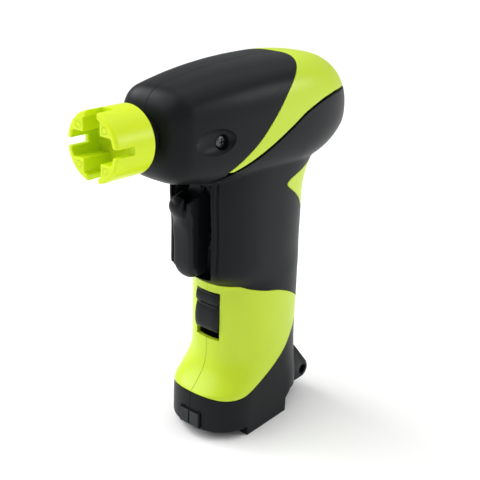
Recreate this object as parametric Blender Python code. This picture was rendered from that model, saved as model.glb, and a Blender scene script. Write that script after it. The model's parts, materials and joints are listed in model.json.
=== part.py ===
"""A battery-powered, pistol-shaped string winder for guitar tuners, as an assembly of its real pieces.

Metres, Z up. The tool stands on the flat block under its grip. Its front, with the winder head, points to -Y,
and its left side is +X. The origin is the centre of the bounding box's bottom face.
"""
import math

import bmesh
import bpy
from mathutils import Matrix, Vector

MM = 0.001
GAP = 0.15                    # half the gap between neighbouring shells, mm
WALL = 2.2                    # shell thickness, mm
WELD = 0.004                  # points closer than this are made one after each Boolean, mm
CENTRE_Y = 14.65              # moves everything along Y, so that the origin is under the bounding box's centre, mm
AXIS_Z = 153.0                # height of the winder's axis, mm
SHARP = math.radians(32)      # edges sharper than this stay sharp when shaded

# Head: a rounded-square barrel along Y
HEAD_FRONT, HEAD_REAR = -64.0, 62.0
HEAD_BULGE_Y = 14.0           # where the head is at its fullest, mm
HEAD_TOP, HEAD_BOTTOM, HEAD_HALF_WIDTH = 178.3, 127.0, 25.2
HEAD_DROP = 5.2               # how far the head's rearmost point lies below the winder's axis, mm
NOSE_ROUND = 8.5              # rounding round the nose face, mm

# Grip and base: a loft along Z
GRIP_FRONT, GRIP_REAR, GRIP_HALF_WIDTH = -24.4, 32.4, 21.0
HOUSING_FRONT = -38.6         # front of the trigger housing on the centre line, mm
HOUSING_LEAN = 1.4            # how much farther forward the housing is under the head, mm
FOOT_FRONT, BASE_REAR, BASE_HALF_WIDTH = -34.5, 31.8, 21.5
FOOT_BOTTOM, PAD_FRONT, PAD_BOTTOM = 4.2, -35.3, 5.0
BLOCK_FRONT, BLOCK_REAR = -16.7, 13.5
REAR_BOTTOM = 11.0

# Winder head
SOCKET_FRONT, SOCKET_REAR, SOCKET_R = -91.3, -71.7, 14.0
CAVITY_DEPTH, SLOT_DEPTH = 14.0, 8.8
BAR_X, BAR_Z, SOCKET_WALL_R = 4.6, 5.25, 11.6
SLOT_X, SLOT_Z = 3.1, 1.6

# Gear train: two planetary stages with the same ring
MODULE = 0.5
SUN_TEETH, PLANET_TEETH, RING_TEETH = 12, 18, 48
ORBIT_R = MODULE * (SUN_TEETH + PLANET_TEETH) / 2
STAGE_B = (-47.4, -43.0)      # output stage, y range of its gears
STAGE_A = (-39.2, -34.8)      # motor stage
CASE_FRONT, CASE_REAR, CASE_R = -54.0, -33.6, 14.0
MOTOR_R, MOTOR_FRONT, MOTOR_REAR = 12.2, -31.0, -3.0

# Reversing slider, trigger, battery bay
WINDOW_X, WINDOW_LOW, WINDOW_HIGH = 7.0, 48.2, 72.7
TRIGGER_X = 5.4               # half the trigger's width
TRIGGER_NECK = 4.2            # and half its width behind its front shell
TRIGGER_PIVOT = (-29.0, 126.4)
CHANNEL_X, CHANNEL_FLOOR, CHANNEL_WALL = 11.2, -22.0, 2.0
CHANNEL_LOW, CHANNEL_HIGH = 81.6, 128.8
HINGE_Y, HINGE_Z, HINGE_PIN_R = 34.8, 12.8, 2.6
CELL_R, CELL_LOW, CELL_HIGH = 7.1, 13.8, 63.4
CELL_PITCH, CELL_Y = 14.5, 3.0
PAD_X = 6.1
SIDE_SCREW, SIDE_SEAT = (-39.5, 149.6), 17.0   # the screw in the left side of the head: y and z, and where it seats
SCOOP_CENTRE, SCOOP_SIZE = (22.4, -46.5, 150.4), (4.2, 12.5, 6.2)
HALF_SCREWS = ((30.0, 152.6), (22.5, 97.0), (-12.5, 92.0), (23.5, 30.0))   # those that join the halves


def clear_scene():
    for thing in list(bpy.data.objects):
        bpy.data.objects.remove(thing)


def new_collection(name, hidden=False):
    made = bpy.data.collections.new(name)
    bpy.context.scene.collection.children.link(made)
    made.hide_render = hidden
    return made


def new_material(name, color, roughness, metallic=0.0):
    made = bpy.data.materials.new(name)
    made.use_nodes = True
    shader = made.node_tree.nodes["Principled BSDF"]
    shader.inputs["Base Color"].default_value = (*color, 1.0)
    shader.inputs["Roughness"].default_value = roughness
    shader.inputs["Metallic"].default_value = metallic
    return made


def add_object(name, mesh, material, at=(0, 0, 0)):
    """An object with its origin at `at`. Both the mesh data and `at` are in mm, before the shift by CENTRE_Y."""
    mesh.transform(Matrix.Translation([-c for c in at]))
    mesh.transform(Matrix.Scale(MM, 4))
    made = bpy.data.objects.new(name, mesh)
    made.location = (at[0] * MM, (at[1] + CENTRE_Y) * MM, at[2] * MM)
    mesh.materials.clear()
    mesh.materials.append(material)
    mesh.shade_smooth()
    mesh.set_sharp_from_angle(angle=SHARP)
    PARTS.objects.link(made)


def mesh_of(bm, name="shape"):
    bmesh.ops.recalc_face_normals(bm, faces=bm.faces)
    mesh = bpy.data.meshes.new(name)
    bm.to_mesh(mesh)
    bm.free()
    return mesh


def loft(rings, tip=None, closed=False):
    """A mesh through rings of equally many points. Its last end may close in a tip, or join its first one."""
    bm = bmesh.new()
    loops = [[bm.verts.new(p) for p in ring] for ring in rings]
    count = len(loops[0])
    for low, high in zip(loops, loops[1:] + (loops[:1] if closed else [])):
        for i in range(count):
            j = (i + 1) % count
            bm.faces.new((low[i], low[j], high[j], high[i]))
    if not closed:
        bm.faces.new(loops[0])
    if tip is not None:
        end = bm.verts.new(tip)
        for i in range(count):
            bm.faces.new((loops[-1][i], loops[-1][(i + 1) % count], end))
    elif not closed:
        bm.faces.new(loops[-1])
    return mesh_of(bm)


def box(low, high):
    bm = bmesh.new()
    bmesh.ops.create_cube(bm, size=1.0)
    size = [b - a for a, b in zip(low, high)]
    middle = [(a + b) / 2 for a, b in zip(low, high)]
    bmesh.ops.scale(bm, vec=size, verts=bm.verts)
    bmesh.ops.translate(bm, vec=middle, verts=bm.verts)
    return mesh_of(bm)


def prism(outline, low, high, axis):
    """An outline of (a, b) points extruded along an axis. axis X takes (y, z), Y takes (x, z), Z takes (x, y)."""
    place = {
        "X": lambda a, b, t: (t, a, b),
        "Y": lambda a, b, t: (a, t, b),
        "Z": lambda a, b, t: (a, b, t),
    }[axis]
    return loft([[place(a, b, t) for a, b in outline] for t in (low, high)])


def turned(profile, centre, axis, segments=24, closed=False):
    """A solid of revolution from (along, radius) points. A closed profile comes back to its start, as a pipe's does."""
    spin = Matrix.Rotation(math.pi / 2, 3, "X") if axis == "Y" else Matrix.Rotation(math.pi / 2, 3, "Y")
    if axis == "Z":
        spin = Matrix.Identity(3)
    sign = -1 if axis == "Y" else 1
    rings = [
        [
            spin @ Vector((radius * math.cos(t), radius * math.sin(t), sign * along)) + Vector(centre)
            for t in (2 * math.pi * k / segments for k in range(segments))
        ]
        for along, radius in profile
    ]
    return loft(rings, closed=closed)


def tube(along, outer_r, inner_r, centre, axis, segments=24):
    low, high = along
    profile = [(low, inner_r), (low, outer_r), (high, outer_r), (high, inner_r)]
    return turned(profile, centre, axis, segments, closed=True)


def is_closed(bm):
    return all(len(edge.link_faces) == 2 for edge in bm.edges)


def boolean(target, other, operation):
    """target and other are meshes in mm. The result is a new mesh. MANIFOLD steps in where EXACT leaves a gap."""
    first = bpy.data.objects.new("target", target)
    second = bpy.data.objects.new("other", other)
    CUTTERS.objects.link(first)
    CUTTERS.objects.link(second)
    modifier = first.modifiers.new("boolean", "BOOLEAN")
    modifier.operation = operation
    modifier.object = second
    for solver in ("EXACT", "MANIFOLD"):
        modifier.solver = solver
        bpy.context.view_layer.update()
        graph = bpy.context.evaluated_depsgraph_get()
        result = bpy.data.meshes.new_from_object(first.evaluated_get(graph))
        bm = bmesh.new()
        bm.from_mesh(result)
        bmesh.ops.remove_doubles(bm, verts=bm.verts, dist=WELD)
        bmesh.ops.dissolve_degenerate(bm, edges=bm.edges, dist=WELD)
        closed = is_closed(bm)
        bm.to_mesh(result)
        bm.free()
        if closed:
            break
    bpy.data.objects.remove(first)
    bpy.data.objects.remove(second)
    return result


def cut(mesh, *others):
    for other in others:
        mesh = boolean(mesh, other, "DIFFERENCE")
    return mesh


def join(mesh, *others):
    for other in others:
        mesh = boolean(mesh, other, "UNION")
    return mesh


def mirrored(mesh):
    """The same shape on the other side of the plane x = 0."""
    copy = mesh.copy()
    copy.transform(Matrix.Scale(-1, 4, (1, 0, 0)))
    copy.flip_normals()
    return copy


# ---- outer form ---------------------------------------------------------------------------------------------------


def superellipse(power, count):
    """count points round a unit superellipse, anticlockwise from (1, 0)."""
    points = []
    for k in range(count):
        t = 2 * math.pi * k / count
        c, s = math.cos(t), math.sin(t)
        points.append((
            math.copysign(abs(c) ** (2 / power), c) if abs(c) > 1e-9 else 0.0,
            math.copysign(abs(s) ** (2 / power), s) if abs(s) > 1e-9 else 0.0,
        ))
    return points


def head_section(y, inset=0.0):
    """Half-width, top, bottom, superellipse power and middle height of the head at y."""
    ahead = max(0.0, HEAD_BULGE_Y - y) / 75.0
    half_width = HEAD_HALF_WIDTH - 7.2 * ahead ** 2
    top = HEAD_TOP - 7.4 * ahead ** 2.2
    bottom = HEAD_BOTTOM + 6.6 * ahead ** 2.9
    lead = (y - HEAD_FRONT) / NOSE_ROUND
    rounding = NOSE_ROUND * (1 - math.sqrt(max(0.0, 1 - (1 - lead) ** 2))) if lead < 1 else 0.0
    tail = max(0.0, y - HEAD_BULGE_Y) / (HEAD_REAR - HEAD_BULGE_Y)
    middle = AXIS_Z - HEAD_DROP * tail ** 2
    closing = max(0.0, 1 - tail ** 2.45) ** (1 / 2.45)
    power = 3.3 - min(1.0, tail * 1.5)
    return (
        (half_width - rounding) * closing - inset,
        middle + (top - rounding - middle) * closing - inset,
        middle + (bottom + rounding - middle) * closing + inset,
        power,
        middle,
    )


def head_ring(y, count, inset=0.0, at=None):
    half_width, top, bottom, power, middle = head_section(y, inset)
    ring = []
    for c, s in superellipse(power, count):
        z = middle + s * ((top - middle) if s > 0 else (middle - bottom))
        ring.append((c * half_width, y if at is None else at, z))
    return ring


def smooth(t):
    t = min(1.0, max(0.0, t))
    return t * t * (3 - 2 * t)


def grip_front(z):
    if z < 23.5:
        return FOOT_FRONT
    if z < 41.0:
        return -23.9 + (FOOT_FRONT + 23.9) * ((41.0 - z) / 17.5) ** 2.1
    if z < 74.0:
        return -23.9 + (GRIP_FRONT + 23.9) * (z - 41.0) / 33.0
    lean = HOUSING_LEAN * smooth((z - 104.0) / 20.0)
    return GRIP_FRONT + (HOUSING_FRONT - GRIP_FRONT) * smooth((z - 75.0) / 13.0) - lean


def grip_rear(z):
    waist = 0.8 * smooth((z - 60.0) / 35.0)
    flare = 15.0 * ((z - 112.0) / 26.0) ** 2.2 if z > 112.0 else 0.0
    low = (GRIP_REAR - BASE_REAR) * (1 - smooth((z - 14.0) / 30.0))
    return GRIP_REAR - waist - low + flare


def grip_section(z, inset=0.0):
    """Half-width, front, front centre, rear centre, rear and power of the grip at z."""
    base = 1 - smooth((z - 16.0) / 28.0)
    half_width = GRIP_HALF_WIDTH + (BASE_HALF_WIDTH - GRIP_HALF_WIDTH) * base
    front, rear = grip_front(z), grip_rear(z)
    middle = (front + rear) / 2
    front_centre = middle + (-14.0 - middle) * base
    rear_centre = middle + (13.5 - middle) * base
    power = 2.3 + 0.3 * smooth((z - 74.0) / 12.0)
    return half_width - inset, front + inset, front_centre, rear_centre, rear - inset, power


def grip_ring(z, count, inset=0.0, at=None):
    half_width, front, front_centre, rear_centre, rear, power = grip_section(z, inset)
    ring = []
    for c, s in superellipse(power, count):
        y = rear_centre + s * (rear - rear_centre) if s >= 0 else front_centre + s * (front_centre - front)
        ring.append((c * half_width, y, z if at is None else at))
    return ring


HEAD_STEPS = (-64.0, -63.5, -62.2, -60.2, -57.5, -52, -44, -34, -22, -10, 2, 14, 25, 34.5, 42.5, 49.5, 54.8, 58.4, 60.9)
GRIP_STEPS = (0, 14, 20, 23.5, 25, 27.5, 31, 35, 40, 50, 62, 74, 77, 79.5, 82, 84.5, 88, 100, 112, 118.5, 124.4, 130.6, 137, 144)
ROUND, INNER_ROUND = 32, 20


def outer_body():
    head = loft([head_ring(y, ROUND) for y in HEAD_STEPS], (0, HEAD_REAR, AXIS_Z - HEAD_DROP))
    grip = loft([grip_ring(z, ROUND) for z in GRIP_STEPS])
    return cut(join(head, grip), underside())


def underside():
    """What is cut away below the foot and behind the block."""
    return prism(
        [(-60, -6), (-60, FOOT_BOTTOM), (BLOCK_FRONT, FOOT_BOTTOM), (BLOCK_FRONT, 0), (BLOCK_FRONT, -3),
         (BLOCK_REAR, -3), (BLOCK_REAR, 7.3), (BLOCK_REAR + 4.2, REAR_BOTTOM), (60, REAR_BOTTOM), (60, -6)],
        -40, 40, "X",
    )


def core_body(inset):
    """The outer form shrunk by `inset`, for things that have to end inside the shells' walls."""
    head = loft([head_ring(y, ROUND, inset) for y in HEAD_STEPS[3:-1]])
    grip = loft([grip_ring(z, ROUND, inset) for z in GRIP_STEPS])
    return join(head, grip)


def inner_body():
    """The hollow inside the shells, at a coarser step."""
    ys = (-61.6, -59.5, -54, -44, -30, -12, 4, 16, 28, 39, 48, 54, 58)
    head = loft([head_ring(y, INNER_ROUND, WALL) for y in ys])
    zs = (WALL, 14, 21, 25, 30, 36, 44, 62, 74, 79, 84, 90, 112, 122, 130, 137, 144)
    grip = loft([grip_ring(z, INNER_ROUND, WALL) for z in zs])
    floor = prism(
        [(-60, -6), (-60, FOOT_BOTTOM + WALL), (BLOCK_FRONT + WALL, FOOT_BOTTOM + WALL),
         (BLOCK_FRONT + WALL, -3), (BLOCK_REAR - WALL, -3), (BLOCK_REAR - WALL, 8.2),
         (BLOCK_REAR + 3.3, REAR_BOTTOM + WALL), (60, REAR_BOTTOM + WALL), (60, -6)],
        -40, 40, "X",
    )
    return cut(join(head, grip), floor)


def trigger_channel(grow):
    """The recess in the housing that the trigger moves in, grown by its wall or not."""
    return box(
        (-CHANNEL_X - grow, -60, CHANNEL_LOW - grow),
        (CHANNEL_X + grow, CHANNEL_FLOOR + grow, CHANNEL_HIGH + grow),
    )


# Lines between the shells, as (y, z) seen from the side
REAR_EDGE = [(-42.6, 130.2), (-38.5, 132.7), (-35.4, 134.4), (-32.2, 135.4), (-25.4, 138), (-14.7, 142.8),
             (-1.2, 149.5), (5.5, 153), (11, 155.7), (21.7, 159.2), (30, 160.7), (38.4, 161.3), (66, 160.8)]
NOSE_EDGE = REAR_EDGE[:3] + [
    (-34.8, 135.9), (-27.1, 141.5), (-19.1, 147.7), (-11.6, 155.4), (-6.2, 161.6), (-1.8, 166.4), (3.9, 171),
    (9.8, 175), (14.6, 177.5), (19, 178.8), (21.6, 180), (22, 186)]
GREEN_TOP = [(-46, 77.6), (-26, 77.6), (-19.6, 77.7), (-14.5, 75.6), (-6, 73), (1.7, 71.2), (9, 68.4), (15, 65.4),
             (21.4, 61.2), (27, 57.2), (33, 54), (46, 52)]
GREEN_BOTTOM = [(-46, 24.6), (-35.5, 23.4), (-30, 22), (-25, 21.6), (-19, 22.1), (-13.6, 23.9), (-6.8, 26.6),
                (0.3, 29.9), (7.3, 34.4), (12.5, 38.6), (17, 43), (21, 46.4), (26, 48.6), (46, 49.4)]
NECK_EDGE = [(56, 134.4), (38, 132.6), (29, 130), (17, 126.7), (9.5, 125), (6, 123.6), (5, 122), (7.2, 119.8),
             (13.4, 115.7), (18.2, 111.7), (21.4, 108), (27, 103.6), (40, 101.6), (56, 101.6)]


def shifted(line, by):
    """The line moved sideways by `by`, to the left of its own direction."""
    moved = []
    for index, (a, b) in enumerate(line):
        before, after = line[max(0, index - 1)], line[min(len(line) - 1, index + 1)]
        run, rise = after[0] - before[0], after[1] - before[1]
        length = math.hypot(run, rise)
        moved.append((a - rise / length * by, b + run / length * by))
    return moved


def region(outline, side):
    """A region of the shells: an outline in YZ taken through one half of the tool."""
    shape = prism(outline, GAP, 40, "X")
    return shape if side > 0 else mirrored(shape)


def region_outlines():
    nose = [(-80, 128.4), (-44.5, 128.4)] + shifted(NOSE_EDGE, GAP) + [(-80, 186)]
    swoosh = shifted(NOSE_EDGE, -GAP)[:2:-1] + [(-34.7, 135.0)] + shifted(REAR_EDGE, GAP)[3:] + [(66, 186)]
    grip = (shifted(REAR_EDGE, -GAP)[::-1] + [(-44.6, 128.2), (-60, 128.2), (-60, 77.75)] + shifted(GREEN_TOP, GAP)
            + [(64, 52)])
    lower = shifted(GREEN_TOP, -GAP)[::-1] + shifted(GREEN_BOTTOM, GAP)
    base = shifted(GREEN_BOTTOM, -GAP)[::-1] + [(-46, -2), (46, -2)]
    return {"nose": nose, "rear_cap": swoosh, "grip": grip, "lower_grip": lower, "base": base}


def hinge_ear():
    """The gusset behind the base that carries one end of the door's pin."""
    outline = [(20, 31.5), (26, 30.5), (HINGE_Y + 3.6, HINGE_Z + 3.2)]
    outline += [
        (HINGE_Y + 4.3 * math.cos(t), HINGE_Z + 4.3 * math.sin(t))
        for t in (math.radians(a) for a in (25, 0, -30, -60, -90))
    ]
    outline += [(26, HINGE_Z - 4.2), (20, REAR_BOTTOM + 1)]
    return prism(outline, 12.2, 16.0, "X")


def scoop(grow):
    """The shallow, long hollow round the screw in the head's side, as an ellipsoid grown by `grow`."""
    bm = bmesh.new()
    bmesh.ops.create_uvsphere(bm, u_segments=20, v_segments=12, radius=1.0)
    bmesh.ops.scale(bm, vec=[r + grow for r in SCOOP_SIZE], verts=bm.verts)
    bmesh.ops.translate(bm, vec=SCOOP_CENTRE, verts=bm.verts)
    return mesh_of(bm)


def shells(outer, inner):
    """One shell for each region and side."""
    core = core_body(0.9)
    whole = cut(outer, cut(inner, trigger_channel(CHANNEL_WALL)), trigger_channel(0.0))
    pin_y, pin_z = TRIGGER_PIVOT
    whole = cut(
        whole,
        turned([(HEAD_FRONT - 3, 8.2), (HEAD_FRONT + 6, 8.2)], (0, 0, AXIS_Z), "Y", 32),
        box((-WINDOW_X, -60, WINDOW_LOW), (WINDOW_X, CHANNEL_FLOOR + 3, WINDOW_HIGH)),
        box((-3.6, CHANNEL_FLOOR - 1, 100), (3.6, CHANNEL_FLOOR + 3, 121)),
        turned([(-12.8, 1.4), (12.8, 1.4)], (0, pin_y, pin_z), "X", 16),
        box((-PAD_X - 0.4, -60, -3), (PAD_X + 0.4, BLOCK_FRONT + 5, 13.9)),
        box((-19.4, BLOCK_FRONT + 1.4, -3), (19.4, 40, 3.4)),
        box((-11.9, 0, -3), (11.9, 60, 18.2)),
    )
    # Posts across the halves, each with a counterbore from the right and a pilot hole on the left
    for y, z in HALF_SCREWS:
        post = boolean(turned([(-30, 3.6), (30, 3.6)], (0, y, z), "X", 20), core.copy(), "INTERSECT")
        whole = join(whole, post)
        whole = cut(
            whole,
            turned([(-30, 3.1), (-screw_seat(z), 3.1), (-screw_seat(z), 1.5), (6.5, 1.5)], (0, y, z), "X", 20),
        )
    made = {}
    for part, outline in region_outlines().items():
        for side, word in ((1, "left"), (-1, "right")):
            mesh = boolean(whole.copy(), region(outline, side), "INTERSECT")
            if part == "grip":
                mesh = cut(mesh, cut(prism(NECK_EDGE, -40, 40, "X"), core_body(1.3)))
            if part == "base":
                ear = cut(
                    hinge_ear(),
                    core.copy(),
                    turned([(10, HINGE_PIN_R + 0.15), (20, HINGE_PIN_R + 0.15)], (0, HINGE_Y, HINGE_Z), "X", 20),
                )
                mesh = join(mesh, ear if side > 0 else mirrored(ear))
            if (part, side) == ("nose", 1):
                mesh = side_screw_seat(mesh, core)
            made[f"{part}_shell_{word}"] = mesh
    return made


def screw_seat(z):
    """How far from the middle a half screw's head sits."""
    return 11.0 if z > 80 else 12.0


def neck_inlay(outer, side):
    """The lime inlay behind the neck: a thin skin that fills its recess but for the joint round it."""
    whole = boolean(region(shifted(NECK_EDGE, 2 * GAP), side), outer.copy(), "INTERSECT")
    return cut(whole, core_body(1.0))


def side_screw_seat(mesh, core):
    """The nose shell with its recess, and a boss behind it that seats the screw."""
    y, z = SIDE_SCREW
    boss = boolean(scoop(1.8), core.copy(), "INTERSECT")
    return cut(
        join(mesh, boss, boolean(turned([(15.4, 4.6), (24, 4.6)], (0, y, z), "X", 20), core.copy(), "INTERSECT")),
        scoop(0.0),
        turned([(10, 1.6), (SIDE_SEAT, 1.6), (SIDE_SEAT, 3.3), (30, 3.3)], (0, y, z), "X", 24),
    )


def keep_largest(mesh):
    """Drops any crumb that a boundary cut off, so that the shell is one body."""
    bm = bmesh.new()
    bm.from_mesh(mesh)
    bmesh.ops.remove_doubles(bm, verts=bm.verts, dist=4 * WELD)
    left = set(bm.verts)
    groups = []
    while left:
        group, front = set(), [left.pop()]
        while front:
            vert = front.pop()
            group.add(vert)
            for edge in vert.link_edges:
                other = edge.other_vert(vert)
                if other in left:
                    left.remove(other)
                    front.append(other)
        groups.append(group)
    groups.sort(key=len)
    for group in groups[:-1]:
        bmesh.ops.delete(bm, geom=list(group), context="VERTS")
    return mesh_of(bm)


# ---- inner works -------------------------------------------------------------------------------------------------


def winder_head():
    body = turned(
        [(SOCKET_FRONT, 13.3), (SOCKET_FRONT + 0.3, 13.75), (SOCKET_FRONT + 0.9, 14.0), (SOCKET_REAR - 0.5, 14.0),
         (SOCKET_REAR, 13.5)],
        (0, 0, AXIS_Z), "Y", 48,
    )
    front, floor = SOCKET_FRONT - 3, SOCKET_FRONT + CAVITY_DEPTH
    cross = join(
        box((-BAR_X, front, AXIS_Z - 13), (BAR_X, floor, AXIS_Z + 13)),
        box((-13, front + 0.5, AXIS_Z - BAR_Z), (13, floor, AXIS_Z + BAR_Z)),
    )
    cross = boolean(cross, turned([(front - 2, SOCKET_WALL_R), (floor + 2, SOCKET_WALL_R)], (0, 0, AXIS_Z), "Y", 48),
                    "INTERSECT")
    slot_end = SOCKET_FRONT + SLOT_DEPTH
    return cut(
        body,
        cross,
        box((-SLOT_X, front, AXIS_Z - 16), (SLOT_X, slot_end, AXIS_Z + 16)),
        box((-16, front - 1, AXIS_Z - SLOT_Z), (16, slot_end, AXIS_Z + SLOT_Z)),
        turned([(floor - 2, 3.1), (SOCKET_REAR + 2, 3.1)], (0, 0, AXIS_Z), "Y", 24),
    )


def involute(angle):
    return math.tan(angle) - angle


def gear_outline(teeth, root_r, tip_r, play, phase=0.0):
    """(x, z) points of a spur gear with a tooth at the angle `phase`. play is taken off each tooth's thickness."""
    pitch_r = MODULE * teeth / 2
    base_r = pitch_r * math.cos(math.radians(20))
    at_pitch = (math.pi * MODULE / 2 - play) / 2 / pitch_r + involute(math.radians(20))

    def half_angle(radius):
        return at_pitch - involute(math.acos(min(1.0, base_r / max(radius, base_r))))

    outline = []
    for k in range(teeth):
        middle = phase + 2 * math.pi * k / teeth
        for radius, way in ((root_r, -1), (tip_r, -1), (tip_r, 1), (root_r, 1)):
            t = middle + way * half_angle(radius)
            outline.append((radius * math.cos(t), radius * math.sin(t)))
    return outline


def gear(teeth, span, centre, bore_r, phase):
    pitch_r = MODULE * teeth / 2
    outline = gear_outline(teeth, pitch_r - 0.6, pitch_r + 0.4, 0.16, phase)
    solid = prism([(centre[0] + a, centre[1] + b) for a, b in outline], span[0], span[1], "Y")
    return cut(solid, turned([(span[0] - 1, bore_r), (span[1] + 1, bore_r)], (centre[0], 0, centre[1]), "Y", 10))


def orbit_points():
    for index in range(3):
        t = math.radians(90 + 120 * index)
        yield t, (ORBIT_R * math.cos(t), AXIS_Z + ORBIT_R * math.sin(t))


def gearbox_case():
    ring_r = MODULE * RING_TEETH / 2
    half_tooth = math.pi / RING_TEETH
    spaces = gear_outline(RING_TEETH, ring_r - 0.4, ring_r + 0.6, -0.16, half_tooth)
    teeth = prism([(a, AXIS_Z + b) for a, b in spaces], CASE_FRONT + 2, CASE_REAR + 1, "Y")
    case = turned([(CASE_FRONT, CASE_R), (CASE_REAR, CASE_R)], (0, 0, AXIS_Z), "Y", 40)
    return cut(case, teeth, turned([(CASE_FRONT - 1, 3.1), (CASE_FRONT + 3, 3.1)], (0, 0, AXIS_Z), "Y", 24))


def output_spindle():
    plate = -51.4
    shape = turned(
        [(SOCKET_FRONT + CAVITY_DEPTH + 0.4, 2.7), (SOCKET_FRONT + CAVITY_DEPTH + 0.8, 3.0), (plate, 3.0),
         (plate, 10.4), (plate + 3.2, 10.4)],
        (0, 0, AXIS_Z), "Y", 24,
    )
    for _, (x, z) in orbit_points():
        shape = join(shape, turned([(plate + 2, 1.0), (STAGE_B[1] - 0.2, 1.0)], (x, 0, z), "Y", 12))
    return cut(shape, turned([(-80, 1.35), (-69.5, 1.35)], (0, 0, AXIS_Z), "Y", 12))


def intermediate_carrier():
    """The first stage's carrier, with the second stage's sun in one piece with it."""
    front = STAGE_B[1] + 0.5
    plate = turned([(front, 10.4), (front + 2.6, 10.4)], (0, 0, AXIS_Z), "Y", 24)
    pitch_r = MODULE * SUN_TEETH / 2
    outline = gear_outline(SUN_TEETH, pitch_r - 0.6, pitch_r + 0.4, 0.16)
    sun = prism([(a, AXIS_Z + b) for a, b in outline], STAGE_B[0] + 0.1, front + 1, "Y")
    shape = join(plate, sun)
    for _, (x, z) in orbit_points():
        shape = join(shape, turned([(front + 1, 1.0), (STAGE_A[1] - 0.2, 1.0)], (x, 0, z), "Y", 12))
    return shape


def motor_rotor():
    return turned(
        [(STAGE_A[0] + 0.4, 1.0), (-26, 1.0), (-26, 8.0), (-9, 8.0), (-9, 2.4), (-4.4, 2.4), (-4.4, 1.0), (0.6, 1.0)],
        (0, 0, AXIS_Z), "Y", 20,
    )


def motor_can():
    return turned(
        [(MOTOR_FRONT + 1, 2.6), (MOTOR_FRONT, 2.6), (MOTOR_FRONT, 11.6), (MOTOR_FRONT + 0.6, MOTOR_R),
         (MOTOR_REAR, MOTOR_R), (MOTOR_REAR, MOTOR_R - 1), (MOTOR_FRONT + 1, MOTOR_R - 1)],
        (0, 0, AXIS_Z), "Y", 28, closed=True,
    )


def motor_end_cap():
    return turned(
        [(MOTOR_REAR + 0.3, 1.3), (MOTOR_REAR + 0.3, MOTOR_R), (MOTOR_REAR + 2.6, MOTOR_R), (MOTOR_REAR + 2.6, 4.0),
         (MOTOR_REAR + 4.6, 4.0), (MOTOR_REAR + 4.6, 1.3)],
        (0, 0, AXIS_Z), "Y", 28, closed=True,
    )


def trigger():
    """A curved lever, hollow behind, hung on its pin at the top, with a rounded knob at the front of its top end."""
    front = [(-36.2, 83.6), (-38.6, 84.2), (-40.4, 86.0), (-41.5, 88.7), (-42.0, 92), (-42.1, 97), (-42.3, 102.5),
             (-43.0, 108), (-44.8, 112.6), (-47.0, 116.4), (-47.8, 119.0), (-47.0, 121.4), (-44.4, 123.4), (-39, 126)]
    back = [(-33, 127.6), (-29, 128.2), (-27.2, 127.2), (-27.0, 125.2), (-27.4, 121), (-28.4, 102),
            (-29.6, 86), (-30.4, 84.4), (-32, 83.6)]
    rings = []
    for share, edge in ((-1, 2.6), (-0.93, 1.3), (-0.78, 0.45), (-0.45, 0.1), (0.45, 0.1), (0.78, 0.45), (0.93, 1.3),
                        (1, 2.6)):
        ring = []
        for y, z in front:
            inset = edge + 3.0 * abs(share) ** 3 * smooth((z - 106) / 10)
            ring.append((share * TRIGGER_X, y + inset, z - (edge * 0.5 if z > 117 else 0)))
        rings.append(ring + [(share * TRIGGER_X, y, z) for y, z in back])
    pin_y, pin_z = TRIGGER_PIVOT
    return cut(
        loft(rings),
        box((-TRIGGER_NECK + 1.2, -38.6, 88), (TRIGGER_NECK - 1.2, -20, 119)),
        box((TRIGGER_NECK, -36.6, 80), (12, -20, 135)),
        box((-12, -36.6, 80), (-TRIGGER_NECK, -20, 135)),
        turned([(-12, 1.35), (12, 1.35)], (0, pin_y, pin_z), "X", 16),
    )


def reversing_slider():
    """The rocker-like slider in the grip's front window, with a flange behind the wall."""
    face = [(-20.6, 52.4), (-23.2, 52.4), (-24.7, 53.6), (-25.4, 57), (-25.3, 61), (-24.6, 64.4), (-23.7, 65.6),
            (-23.7, 66.2), (-24.7, 66.9), (-25.0, 69), (-24.5, 71.4), (-23.6, 72.4), (-20.6, 72.4)]
    rings = []
    for x, inset in ((-6.7, 1.2), (-6.2, 0.6), (-3, 0.1), (3, 0.1), (6.2, 0.6), (6.7, 1.2)):
        rings.append([(x, y + inset if y < -22 else y, z) for y, z in face])
    stem = box((-5.0, -21.0, 55), (5.0, -19.0, 70))
    flange = box((-8.4, -19.5, 52.6), (8.4, -18.3, 73.6))
    return join(loft(rings), stem, flange)


def coil(centre, radius, wire_r, turns, low, high, axis, taper=1.0):
    """A helical wire of round section, from low to high along the axis."""
    steps, sides = int(turns * 8), 4
    place = (lambda p: (p[0], p[2], p[1])) if axis == "Y" else (lambda p: p)
    rings = []
    for k in range(steps + 1):
        t = k / steps
        angle = 2 * math.pi * turns * t
        reach = radius * (taper + (1 - taper) * t)
        along = low + wire_r + (high - low - 2 * wire_r) * t
        ring = []
        for s in range(sides):
            a = 2 * math.pi * s / sides
            r = reach + wire_r * math.cos(a)
            point = (r * math.cos(angle), r * math.sin(angle), along + wire_r * math.sin(a))
            ring.append(tuple(c + o for c, o in zip(centre, place(point))))
        rings.append(ring)
    return loft(rings)


def battery_cell(x, y, nub_up):
    low, high = CELL_LOW, CELL_HIGH
    profile = [(low, 6.5), (low + 0.4, CELL_R), (high - 0.4, CELL_R), (high, 6.5), (high, 2.7), (high + 1.0, 2.7)]
    if not nub_up:
        profile = [(low + high - a, r) for a, r in profile][::-1]
    return turned(profile, (x, y, 0), "Z", 16)


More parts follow.
